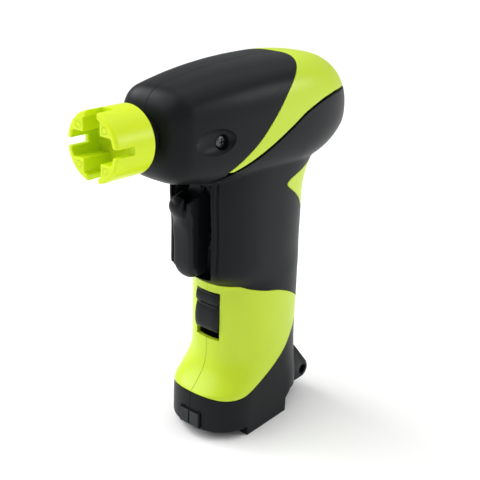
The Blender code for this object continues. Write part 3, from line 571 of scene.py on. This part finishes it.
def inner_body():
    head = loft([head_ring(-61.6 + 119.6 * k / 50, 72, WALL) for k in range(51)])
    grip = loft([grip_ring(WALL + 2.9 * k, 72, WALL) for k in range(49)])
    floor = prism(
        [(-60, -6), (-60, FOOT_BOTTOM + WALL), (BLOCK_FRONT + WALL, FOOT_BOTTOM + WALL),
         (BLOCK_FRONT + WALL, -3), (BLOCK_REAR - WALL, -3), (BLOCK_REAR - WALL, 8.2),
         (BLOCK_REAR + 3.3, REAR_BOTTOM + WALL), (60, REAR_BOTTOM + WALL), (60, -6)],
        -40, 40, "X",
    )
    return cut(join(head, grip), floor)


def channel_outline(grow, arched):
    """The trigger's recess from the front, with rounds at the foot, and an arch at the top or none."""
    half, high, low = CHANNEL_X + grow, CHANNEL_HIGH + grow, CHANNEL_LOW - grow
    points = [(half, high + 3.0), (-half, high + 3.0)]
    if arched:
        points = []
        for k in range(25):
            t = math.pi * k / 24
            points.append((half * math.cos(t), high - half + half * math.sin(t)))
    for middle_x, start in ((-half + 6.0, 180), (half - 6.0, 270)):
        for k in range(9):
            t = math.radians(start + 11.25 * k)
            points.append((middle_x + 6.0 * math.cos(t), low + 6.0 + 6.0 * math.sin(t)))
    return points


def channel(grow):
    return prism(channel_outline(grow, True), -60, CHANNEL_FLOOR + grow, "Y")


def channel_mouth():
    """The open front of the recess: it runs up to the head, ahead of the arched web."""
    straight = prism(channel_outline(0.3, False), -60, -34.6, "Y")
    return common(straight, box((-20, -70, 70), (20, -30, CHANNEL_HIGH - 0.2)))


REAR_EDGE = [(-42.6, 130.2), (-38.5, 132.7), (-35.4, 134.4), (-32.2, 135.4), (-25.4, 138), (-14.7, 142.8),
             (-1.2, 149.5), (5.5, 153), (11, 155.7), (21.7, 159.2), (30, 160.7), (38.4, 161.3), (66, 160.8)]
NOSE_EDGE = REAR_EDGE[:3] + [
    (-34.8, 135.9), (-27.1, 141.5), (-19.1, 147.7), (-11.6, 155.4), (-6.2, 161.6), (-1.8, 166.4), (3.9, 171),
    (9.8, 175), (14.6, 177.5), (19, 178.8), (21.6, 180), (22, 186)]
GREEN_TOP = [(-46, 77.6), (-26, 77.6), (-19.6, 77.7), (-14.5, 75.6), (-6, 73), (1.7, 71.2), (9, 68.4), (15, 65.4),
             (21.4, 61.2), (27, 57.2), (33, 54), (46, 52)]
GREEN_BOTTOM = [(-46, 24.6), (-35.5, 23.4), (-30, 22), (-25, 21.6), (-19, 22.1), (-13.6, 23.9), (-6.8, 26.6),
                (0.3, 29.9), (7.3, 34.4), (12.5, 38.6), (17, 43), (21, 46.4), (26, 48.6), (46, 49.4)]
NECK_EDGE = [(56, 134.4), (38, 132.6), (29, 130), (17, 126.7), (9.5, 125), (6, 123.6), (5, 122), (7.2, 119.8),
             (13.4, 115.7), (18.2, 111.7), (21.4, 108), (27, 103.6), (40, 101.6), (56, 101.6)]


def region(outline, side):
    shape = prism(outline, SEAM, 40, "X")
    return shape if side > 0 else mirrored(shape)


def region_outlines():
    rear, nose_line = spline(REAR_EDGE), spline(NOSE_EDGE)
    top, bottom = spline(GREEN_TOP), spline(GREEN_BOTTOM)
    grip_edge = shifted(rear, -GROOVE)
    nose = [(-80, 128.4), (-44.5, 128.4)] + shifted(nose_line, JOINT) + [(-80, 186)]
    swoosh = shifted(nose_line, -JOINT)[:14:-1] + shifted(rear, JOINT)[15:] + [(66, 186)]
    grip = (grip_edge[::-1] + [(-44.6, 128.2), (-60, 128.2), (-60, 77.6 + JOINT)] + shifted(top, JOINT)
            + [(64, 52)])
    lower = shifted(top, -JOINT)[::-1] + shifted(bottom, JOINT)
    base = shifted(bottom, -JOINT)[::-1] + [(-46, -2), (46, -2)]
    return {"nose": nose, "rear_cap": swoosh, "grip": grip, "lower_grip": lower, "base": base}


def scoop(grow):
    """The shallow, long hollow round the screw in the head's side, as an ellipsoid grown by `grow`."""
    bm = bmesh.new()
    bmesh.ops.create_uvsphere(bm, u_segments=96, v_segments=64, radius=1.0)
    bmesh.ops.scale(bm, vec=[r + grow for r in SCOOP_SIZE], verts=bm.verts)
    bmesh.ops.translate(bm, vec=SCOOP_CENTRE, verts=bm.verts)
    return mesh_of(bm)


def lip_groove(side):
    """A fine groove beside the bead on each lip of the recess."""
    rings = []
    for k in range(60):
        z = 84.0 + (129.4 - 84.0) * k / 59
        x = CHANNEL_X + LIP_GROOVE
        y = housing_y(x, z)
        rings.append([
            (side * (x + 0.42 * math.cos(2 * math.pi * t / 10)), y + 0.5 * math.sin(2 * math.pi * t / 10), z)
            for t in range(10)
        ])
    return loft(rings)


def hinge_ear():
    outline = [(20, 31.5), (26, 30.5), (HINGE_Y + 3.2, HINGE_Z + 3.6)]
    for k in range(12):
        t = math.radians(35 - 125 * k / 11)
        outline.append((HINGE_Y + 4.3 * math.cos(t), HINGE_Z + 4.3 * math.sin(t)))
    outline += [(26, HINGE_Z - 4.2), (20, REAR_BOTTOM + 1)]
    return prism(outline, 12.2, 16.0, "X")


def screw_seat(z):
    return 11.0 if z > 80 else 12.0


def make_shells():
    outer, inner, core = outer_body(), inner_body(), core_body(0.9)
    solid_neck = outer.copy()
    pin_y, pin_z = TRIGGER_PIVOT
    whole = cut(
        outer,
        cut(inner, channel(CHANNEL_WALL)),
        channel(0.0),
        channel_mouth(),
        lip_groove(1),
        lip_groove(-1),
        turned([(HEAD_FRONT - 3, 8.2), (HEAD_FRONT + 6, 8.2)], (0, 0, AXIS_Z), "Y", 64),
        box((-WINDOW_X, -60, WINDOW_LOW), (WINDOW_X, CHANNEL_FLOOR + 3, WINDOW_HIGH)),
        box((-3.6, CHANNEL_FLOOR - 1, 100), (3.6, CHANNEL_FLOOR + 3, 121)),
        turned([(-12.8, 1.4), (12.8, 1.4)], (0, pin_y, pin_z), "X", 24),
        box((-PAD_X - 0.45, -60, -3), (PAD_X + 0.45, BLOCK_FRONT + 5, 13.9)),
        box((-19.4, BLOCK_FRONT + 1.4, -3), (19.4, 40, 3.4)),
        box((-11.9, 0, -3), (11.9, 60, 18.2)),
    )
    for y, z in HALF_SCREWS:
        post = common(turned([(-30, 3.6), (30, 3.6)], (0, y, z), "X", 40), core.copy())
        whole = cut(
            join(whole, post),
            turned([(-30, 3.1), (-screw_seat(z), 3.1), (-screw_seat(z), 1.5), (6.5, 1.5)], (0, y, z), "X", 40),
        )
    neck = spline(NECK_EDGE)
    pocket = cut(prism(neck, -40, 40, "X"), core_body(1.3))
    for part, outline in region_outlines().items():
        for side, word in ((1, "left"), (-1, "right")):
            mesh = common(whole.copy(), region(outline, side))
            if part == "grip":
                mesh = cut(mesh, pocket.copy())
            if part == "base":
                ear = cut(
                    hinge_ear(),
                    core.copy(),
                    turned([(10, HINGE_PIN_R + 0.15), (20, HINGE_PIN_R + 0.15)], (0, HINGE_Y, HINGE_Z), "X", 36),
                )
                mesh = join(mesh, bevelled(ear, 0.4) if side > 0 else mirrored(bevelled(ear, 0.4)))
            if (part, side) == ("nose", 1):
                y, z = SIDE_SCREW
                boss = common(join(scoop(1.8), turned([(15.4, 4.6), (24, 4.6)], (0, y, z), "X", 48)), core.copy())
                bore = [(10, 1.6), (SIDE_SEAT, 1.6), (SIDE_SEAT, 3.3), (30, 3.3)]
                mesh = cut(join(mesh, boss), scoop(0.0), turned(bore, (0, y, z), "X", 64))
            lime = part in ("rear_cap", "lower_grip")
            name = f"{part}_shell_{word}"
            place(name + "_skin", largest(mesh), LIME if lime else BLACK, "housing", [name])
    inlay = cut(solid_neck, core_body(1.0))
    for side, word in ((1, "left"), (-1, "right")):
        mesh = common(inlay.copy(), region(shifted(neck, 2 * JOINT), side))
        place(f"neck_inlay_{word}_skin", largest(mesh), LIME, "housing", [f"neck_inlay_{word}"])


def lip_bead():
    """The thin raised bead that runs down each lip of the trigger's recess."""
    for side, word in ((1, "left"), (-1, "right")):
        path = []
        for k in range(60):
            z = 86.5 + (129.8 - 86.5) * k / 59
            x = CHANNEL_X + LIP_BEAD
            path.append((side * x, housing_y(x, z) + 0.05, z))
        rings = []
        for k, (x, y, z) in enumerate(path):
            ring = []
            for s in range(12):
                t = 2 * math.pi * s / 12
                ring.append((x + 0.55 * math.cos(t), y + 0.45 * math.sin(t), z))
            rings.append(ring)
        place(f"housing_bead_{word}", loft(rings), BLACK, "housing", sharp=60)


# ---- winder head --------------------------------------------------------------------------------------------------

def make_socket():
    edge = [(SOCKET_FRONT + 1.0 - 1.0 * math.sin(math.pi / 2 * k / 5), 13.0 + 1.0 * math.cos(math.pi / 2 * k / 5))
            for k in range(5, -1, -1)]
    back = [(SOCKET_REAR - 0.4, 14.0), (SOCKET_REAR - 0.12, 13.9), (SOCKET_REAR, 13.6)]
    body = turned(edge + back, (0, 0, AXIS_Z), "Y", 128)
    front, floor = SOCKET_FRONT - 3, SOCKET_FRONT + CAVITY_DEPTH
    cross = join(
        box((-BAR_X, front, AXIS_Z - 13), (BAR_X, floor, AXIS_Z + 13)),
        box((-13, front + 0.5, AXIS_Z - BAR_Z), (13, floor, AXIS_Z + BAR_Z)),
    )
    cross = common(cross, turned([(front - 2, SOCKET_WALL_R), (floor + 2, SOCKET_WALL_R)], (0, 0, AXIS_Z), "Y", 128))
    slot_end = SOCKET_FRONT + SLOT_DEPTH
    body = cut(
        body,
        cross,
        box((-SLOT_X, front, AXIS_Z - 16), (SLOT_X, slot_end, AXIS_Z + 16)),
        box((-16, front - 1, AXIS_Z - SLOT_Z), (16, slot_end, AXIS_Z + SLOT_Z)),
        turned([(floor - 2, 3.1), (SOCKET_REAR + 2, 3.1)], (0, 0, AXIS_Z), "Y", 48),
    )
    body = rounded(body, 0.24, 5)
    for sx in (-1, 1):
        for sz in (-1, 1):
            mark = turned(
                [(SOCKET_FRONT - 0.5, 1.16), (SOCKET_FRONT - 0.5, 1.46), (SOCKET_FRONT + 0.24, 1.38),
                 (SOCKET_FRONT + 0.24, 1.24)],
                (sx * 7.2, 0, AXIS_Z + sz * 7.7), "Y", 32, closed=True,
            )
            body = cut(body, mark)
    place("winder_head_moulding", body, LIME_GLOSS, "winder", ["winder_head"], 30)


# ---- trigger ------------------------------------------------------------------------------------------------------

def make_trigger():
    """A hollow lever with a knob at its top front, an open pocket behind the knob, and a wall on each side."""
    half, neck = 5.4, 4.2
    front = spline([(-36.2, 83.8), (-38.6, 84.3), (-40.4, 86.0), (-41.5, 88.7), (-42.0, 92), (-42.1, 97),
                    (-42.3, 102.5), (-43.0, 108), (-44.6, 112.4), (-46.8, 115.8), (-47.8, 118.6), (-47.1, 121.0),
                    (-44.8, 122.7), (-39, 125)], 4)
    back = [(-33, 127.0), (-29, 128.2), (-27.2, 127.2), (-27.0, 125.2), (-27.4, 121), (-28.4, 102),
            (-29.6, 86), (-30.4, 84.6), (-32, 83.8)]
    rings = []
    for k in range(41):
        x = half * math.sin(math.pi / 2 * (k - 20) / 20)
        edge = max(0.0, (abs(x) / half - 0.72) / 0.28)
        inset = 1.4 * (1 - math.sqrt(max(0.0, 1 - edge ** 2))) + 0.010 * x * x
        heel = 4.6 * (1 - (1 - (abs(x) / (half + 0.02)) ** 2.6) ** 0.5)
        ring = []
        for y, z in front + back:
            drop = heel * smooth((93 - z) / 9.4)
            push = inset + 3.0 * (abs(x) / half) ** 2.5 * smooth((z - 107) / 8) if y < -37 else 0
            ring.append((x, y + push, z + drop))
        rings.append(ring)
    pin_y, pin_z = TRIGGER_PIVOT
    wall_top = [(-60, 114.6), (-44.2, 114.6), (-44.0, 120.6), (-37, 122.9), (-33.4, 123.8), (-32.6, 126.5),
                (-32.6, 135), (-60, 135)]
    body = cut(
        loft(rings),
        box((-3.0, -38.6, 88), (3.0, -20, 113)),
        box((-3.9, -43.9, 113.5), (3.9, -34.0, 135)),
        box((neck, -36.8, 80), (12, -20, 135)),
        box((-12, -36.8, 80), (-neck, -20, 135)),
        turned([(-12, 1.35), (12, 1.35)], (0, pin_y, pin_z), "X", 32),
        prism(wall_top, 3.3, 12, "X"),
        prism(wall_top, -12, -3.3, "X"),
    )
    place("trigger_lever_skin", largest(rounded(body, 0.3, 4)), BLACK_SMOOTH, "trigger_lever", ["trigger"],
          60)


def make_slider():
    """The reversing slider: a face with two swells and a notch between them, on a plate behind the window."""
    face = spline([(-20.6, 52.4), (-23.2, 52.4), (-24.7, 53.6), (-25.4, 57), (-25.3, 61), (-24.6, 64.4),
                   (-23.7, 65.6)], 4)[4:] + [(-23.5, 65.7), (-23.5, 66.2)]
    face = [(-20.6, 52.4)] + face + spline([(-23.7, 66.4), (-24.8, 66.9), (-25.1, 69), (-24.6, 71.4),
                                            (-23.6, 72.4)], 4) + [(-20.6, 72.4)]
    rings = []
    for x, inset in ((-6.7, 0.9), (-6.45, 0.35), (-6.0, 0.08), (-3, 0.0), (3, 0.0), (6.0, 0.08), (6.45, 0.35),
                     (6.7, 0.9)):
        rings.append([(x, y + inset if y < -22 else y, z) for y, z in face])
    body = join(loft(rings), box((-5.0, -21.0, 55), (5.0, -19.0, 70)), box((-8.4, -19.5, 52.6), (8.4, -18.3, 73.6)))
    place("reversing_slider_skin", bevelled(body, 0.2, 2, 40), BLACK_SMOOTH, "slider", ["reversing_slider"])


# ---- base ---------------------------------------------------------------------------------------------------------

def make_door():
    """The battery door: plate, riser, latch tongue with its ribbed pad, hinge arm and knuckle."""
    plate = box((-19.0, BLOCK_FRONT + 1.8, 0.25), (19.0, 11.0, 2.6))
    riser = box((-13.6, -11.4, 1), (13.6, 7.4, 9.4))
    tongue = prism(
        [(-14.4, 0.25), (-14.4, 7.6), (-32.9, 7.6), (-32.9, 13.5), (PAD_FRONT, 13.5), (PAD_FRONT, PAD_BOTTOM + 1.2),
         (PAD_FRONT + 0.5, PAD_BOTTOM + 0.3), (PAD_FRONT + 1.3, PAD_BOTTOM), (-16.6, PAD_BOTTOM),
         (-16.6, 0.25)][::-1],
        -PAD_X, PAD_X, "X",
    )
    arm = prism(
        [(10, 0.25), (13.2, 0.25), (13.2, 7.2), (17.6, 10.9), (HINGE_Y - 2, 10.4), (HINGE_Y, HINGE_Z + 3), (20, 13.4),
         (14.6, 9.4), (10, 8.6)],
        -KNUCKLE_X, KNUCKLE_X, "X",
    )
    knuckle = turned([(-KNUCKLE_X, KNUCKLE_R), (KNUCKLE_X, KNUCKLE_R)], (0, HINGE_Y, HINGE_Z), "X", 48)
    door = cut(
        join(plate, riser, tongue, arm, knuckle),
        turned([(-13, HINGE_PIN_R + 0.15), (13, HINGE_PIN_R + 0.15)], (0, HINGE_Y, HINGE_Z), "X", 36),
    )
    door = bevelled(door, 0.25, 2, 40)
    door = cut(door, box((-0.3, -40, 4), (0.3, PAD_FRONT + 0.6, 14)))
    place("battery_door_skin", door, BLACK, "door", ["battery_door"])
    ribs = bmesh.new()
    for k in range(RIB_COUNT):
        z = PAD_BOTTOM + 1.35 + RIB_PITCH * k
        for low, high in ((-PAD_X + 0.4, -0.5), (0.5, PAD_X - 0.4)):
            profile = [(PAD_FRONT + 0.1, z - 0.3), (PAD_FRONT - 0.22, z - 0.14), (PAD_FRONT - 0.22, z + 0.14),
                       (PAD_FRONT + 0.1, z + 0.3)]
            ribs.from_mesh(prism(profile, low, high, "X"))
    place("latch_pad_ribs", mesh_of(ribs), PAD, "door")


# ---- screws -------------------------------------------------------------------------------------------------------

def screw(seat_x, tip_x, y, z, head_r=2.75, shank_r=1.3):
    """A pan-head screw along X with a cross recess and a domed head."""
    way = 1 if tip_x > seat_x else -1
    profile = []
    for k in range(7):
        t = math.pi / 2 * k / 6
        profile.append((seat_x - way * (0.9 + 1.0 * math.cos(t)), 0.15 + (head_r - 0.15) * math.sin(t)))
    profile += [(seat_x, head_r), (seat_x, shank_r), (tip_x - way * 0.8, shank_r), (tip_x, 0.5)]
    if way < 0:
        profile = profile[::-1]
    outer_x = seat_x - way * 2.4
    slots = []
    for a, b in ((1.5, 0.33), (0.33, 1.5)):
        deep = seat_x - way * 0.9
        slots.append(box((min(outer_x, deep), y - a, z - b), (max(outer_x, deep), y + a, z + b)))
    return cut(turned(profile, (0, y, z), "X", 40), *slots)


def make_screws():
    """The screws and the hinge pin, in the place of the CAD ones."""
    y, z = SIDE_SCREW
    place("gearbox_screw_bright", bevelled(screw(SIDE_SEAT + 0.1, 14.5, y, z), 0.06, 2), DARK_STEEL, "housing",
          ["gearbox_screw"])
    for index, (y, z) in enumerate(HALF_SCREWS):
        seat = -screw_seat(z) - 0.1
        place(f"housing_screw_{index + 1}_bright", bevelled(screw(seat, 6.0, y, z), 0.06, 2), DARK_STEEL, "housing",
              [f"housing_screw_{index + 1}"])
    profile = [(-13.4, 1.7), (-PIN_X, HINGE_PIN_R), (PIN_X, HINGE_PIN_R), (13.4, 1.7)]
    pin = turned(profile, (0, HINGE_Y, HINGE_Z), "X", 36)
    place("door_pin_bright", pin, DARK_STEEL, "housing", ["door_pin"])


# ---- carried-over CAD pieces, stage and light -------------------------------------------------------------------

def finish_cad_nodes():
    """Gives every CAD node that still shows a procedural material of its slot."""
    slots = {part["node"]: part["material_slot"] for part in frame["record"]["subparts"]}
    for name, piece in frame["nodes"].items():
        for holder in piece.material_slots:
            holder.material = DARK_STEEL if name == "trigger_spring" else SLOT_MATERIAL[slots[name]]


def stage():
    """The floor, the world and the lights."""
    floor_material = new_material("studio_floor", (0.93, 0.93, 0.93), 0.8, specular=0.1)
    bpy.ops.mesh.primitive_plane_add(size=FLOOR_SIZE, location=(0, 0, 0))
    floor = bpy.context.object
    floor.name = "studio_floor"
    floor.data.materials.append(floor_material)
    world = bpy.data.worlds.new("studio")
    bpy.context.scene.world = world
    world.use_nodes = True
    world.node_tree.nodes["Background"].inputs["Color"].default_value = (1, 1, 1, 1)
    world.node_tree.nodes["Background"].inputs["Strength"].default_value = WORLD_STRENGTH
    bpy.context.scene.view_settings.view_transform = "Standard"
    target = Vector((0, 0.0, 0.10))
    suns = (("key", (-0.55, -0.62, 0.9), 60, 1.9), ("overhead", (0.1, 0.3, 1.0), 70, 1.0))
    for name, way, angle, strength in suns:
        data = bpy.data.lights.new(name, "SUN")
        data.energy, data.angle = strength, math.radians(angle)
        lamp = bpy.data.objects.new(name, data)
        bpy.context.scene.collection.objects.link(lamp)
        lamp.rotation_euler = Vector(way).to_track_quat("Z", "Y").to_euler()
    lamps = (
        ("right", (0.75, 0.65, 0.45), 0.30, 2.6),
        ("left", (-0.75, -0.15, 0.65), 0.40, 3.0),
    )
    for name, at, size, power in lamps:
        data = bpy.data.lights.new(name, "AREA")
        data.shape, data.size, data.energy = "SQUARE", size, power
        lamp = bpy.data.objects.new(name, data)
        bpy.context.scene.collection.objects.link(lamp)
        lamp.location = at
        lamp.rotation_euler = (target - Vector(at)).to_track_quat("-Z", "Y").to_euler()


make_shells()
lip_bead()
make_socket()
make_trigger()
make_slider()
make_door()
make_screws()
finish_cad_nodes()
stage()
bpy.context.scene.collection.children.unlink(scratch)
bpy.data.collections.remove(scratch)
